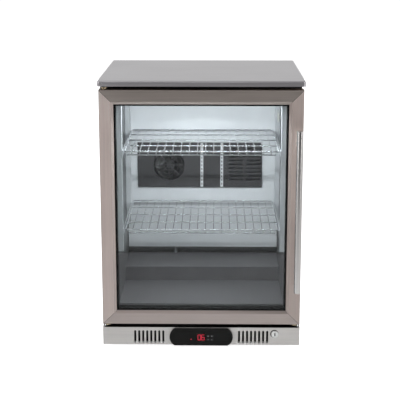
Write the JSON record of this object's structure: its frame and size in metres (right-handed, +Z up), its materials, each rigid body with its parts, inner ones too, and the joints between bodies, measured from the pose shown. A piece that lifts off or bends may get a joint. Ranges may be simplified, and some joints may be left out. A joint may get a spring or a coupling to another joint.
{
  "type": "undercounter refrigerator",
  "caption": "Undercounter bar refrigerator: glass door in a mitred stainless frame, bar handle, wire shelves, vented kick panel with controller and lock.",
  "frame": {"origin": "on the floor, below the middle of the overall box (handle included)", "axes": "+Z up, -Y towards the person at the door, +X to their right"},
  "size_m": [0.6, 0.564, 0.82],
  "materials": {
    "worktop_steel": "fine brushed, satin",
    "panel_steel": "vertical brushed",
    "rail_steel": "brushed along the rail",
    "stile_steel": "brushed along the stile",
    "kick_steel": "brushed across",
    "handle_steel": "satin, turned",
    "bracket_steel": "zinc plated",
    "galvanised": "galvanised sheet",
    "chrome": "polished",
    "shelf_chrome": "chromed wire",
    "liner_aluminium": "stucco embossed",
    "enamel_black": "satin enamel",
    "cover_aluminium": "satin",
    "led_aluminium": "anodised",
    "coil_aluminium": "mill finish",
    "condenser_black": "dip coated",
    "tub_black": "fine grain",
    "panel_black": "fine grain",
    "frame_black": "smooth",
    "black_plastic": "fine grain",
    "gloss_black": "semi gloss",
    "button_grey": "satin",
    "probe_plastic": "satin",
    "bush_plastic": "natural acetal",
    "pan_grey": "smooth",
    "fan_black": "smooth",
    "foot_black": "fine grain",
    "motor_grey": "stove enamel",
    "compressor_black": "gloss enamel",
    "shroud_steel": "galvanised sheet",
    "copper": "drawn copper",
    "board_green": "solder mask",
    "rubber": "matt",
    "gasket_rubber": "matt",
    "glass": "float, low emission coating",
    "smoked_window": "smoked",
    "digit_red": "lit",
    "led_light": "opal, lit",
    "foam": null,
    "core_board": "board"
  },
  "bodies": {
    "cabinet": {"worktop_skin": "worktop_steel", "worktop_core": "core_board", "side_panels": "panel_steel", "back_panel": "galvanised", "front_frame": "enamel_black", "foam_insulation": "foam", "inner_liner": "liner_aluminium", "floor_tub": "tub_black", "shelf_supports": "cover_aluminium", "led_housing": "led_aluminium", "led_lens": "led_light", "evaporator_cover": "cover_aluminium", "fan_panel": "panel_black", "evaporator_coil": "coil_aluminium", "temperature_probe": "probe_plastic", "base_pan": "enamel_black", "kick_panel": "kick_steel", "controller_bezel": "gloss_black", "display_window": "smoked_window", "display_digits": "digit_red", "control_board": "board_green", "lock_housing": "chrome", "hinge_brackets": "bracket_steel", "compressor_shell": "compressor_black", "compressor_mounts": "rubber", "terminal_cover": "black_plastic", "condenser_coil": "condenser_black", "refrigerant_tubes": "copper", "fan_shroud": "shroud_steel", "fan_motors": "motor_grey", "condensate_pan": "pan_grey", "drain_trough": "pan_grey", "rear_grille": "galvanised", "power_inlet": "black_plastic", "cabinet_screws": "bracket_steel"},
    "door": {"door_rail_top": "rail_steel", "door_rail_bottom": "rail_steel", "door_stile_hinge": "stile_steel", "door_stile_handle": "stile_steel", "door_inner_frame": "frame_black", "door_corner_keys": "black_plastic", "hinge_bushes": "bush_plastic", "closer_torsion_rod": "bracket_steel", "glass_panes": "glass", "glass_spacer": "frame_black", "door_gasket": "gasket_rubber", "door_handle": "handle_steel"},
    "lower_shelf_body": {"shelf_lower": "shelf_chrome"},
    "upper_shelf_body": {"shelf_upper": "shelf_chrome"},
    "lock_body": {"lock_plug": "chrome"},
    "evaporator_fan_body": {"evaporator_fan": "fan_black"},
    "condenser_fan_body": {"condenser_fan": "fan_black"},
    "button_down_body": {"button_down": "button_grey"},
    "button_light_body": {"button_light": "button_grey"},
    "button_up_body": {"button_up": "button_grey"},
    "button_set_body": {"button_set": "button_grey"},
    "foot_front_left_body": {"foot_front_left": "foot_black"},
    "foot_rear_left_body": {"foot_rear_left": "foot_black"},
    "foot_front_right_body": {"foot_front_right": "foot_black"},
    "foot_rear_right_body": {"foot_rear_right": "foot_black"}
  },
  "joints": [
    {"name": "door_hinge", "type": "hinge", "parent": "cabinet", "child": "door", "pos_m": [-0.281, -0.215, 0.44], "axis": [0, 0, -1], "range_deg": [0, 110], "stiffness_Nm_per_rad": 1.5},
    {"name": "lock_turn", "type": "hinge", "parent": "cabinet", "child": "lock_body", "pos_m": [0.222, -0.22, 0.054], "axis": [0, 1, 0], "range_deg": [0, 90]},
    {"name": "lower_shelf_lift", "type": "slide", "parent": "cabinet", "child": "lower_shelf_body", "axis": [0, 0, 1], "range_m": [0, 0.05]},
    {"name": "upper_shelf_lift", "type": "slide", "parent": "cabinet", "child": "upper_shelf_body", "axis": [0, 0, 1], "range_m": [0, 0.05]},
    {"name": "evaporator_fan_spin", "type": "hinge", "parent": "cabinet", "child": "evaporator_fan_body", "pos_m": [-0.112, 0.207, 0.4825], "axis": [0, 1, 0], "continuous": true},
    {"name": "condenser_fan_spin", "type": "hinge", "parent": "cabinet", "child": "condenser_fan_body", "pos_m": [-0.188, 0.174, 0.084], "axis": [1, 0, 0], "continuous": true},
    {"name": "button_down_press", "type": "slide", "parent": "cabinet", "child": "button_down_body", "axis": [0, 1, 0], "range_m": [0, 0.0008], "stiffness_N_per_m": 400},
    {"name": "button_light_press", "type": "slide", "parent": "cabinet", "child": "button_light_body", "axis": [0, 1, 0], "range_m": [0, 0.0008], "stiffness_N_per_m": 400},
    {"name": "button_up_press", "type": "slide", "parent": "cabinet", "child": "button_up_body", "axis": [0, 1, 0], "range_m": [0, 0.0008], "stiffness_N_per_m": 400},
    {"name": "button_set_press", "type": "slide", "parent": "cabinet", "child": "button_set_body", "axis": [0, 1, 0], "range_m": [0, 0.0008], "stiffness_N_per_m": 400},
    {"name": "foot_front_left_height", "type": "slide", "parent": "cabinet", "child": "foot_front_left_body", "axis": [0, 0, -1], "range_m": [0, 0.012]},
    {"name": "foot_rear_left_height", "type": "slide", "parent": "cabinet", "child": "foot_rear_left_body", "axis": [0, 0, -1], "range_m": [0, 0.012]},
    {"name": "foot_front_right_height", "type": "slide", "parent": "cabinet", "child": "foot_front_right_body", "axis": [0, 0, -1], "range_m": [0, 0.012]},
    {"name": "foot_rear_right_height", "type": "slide", "parent": "cabinet", "child": "foot_rear_right_body", "axis": [0, 0, -1], "range_m": [0, 0.012]}
  ]
}
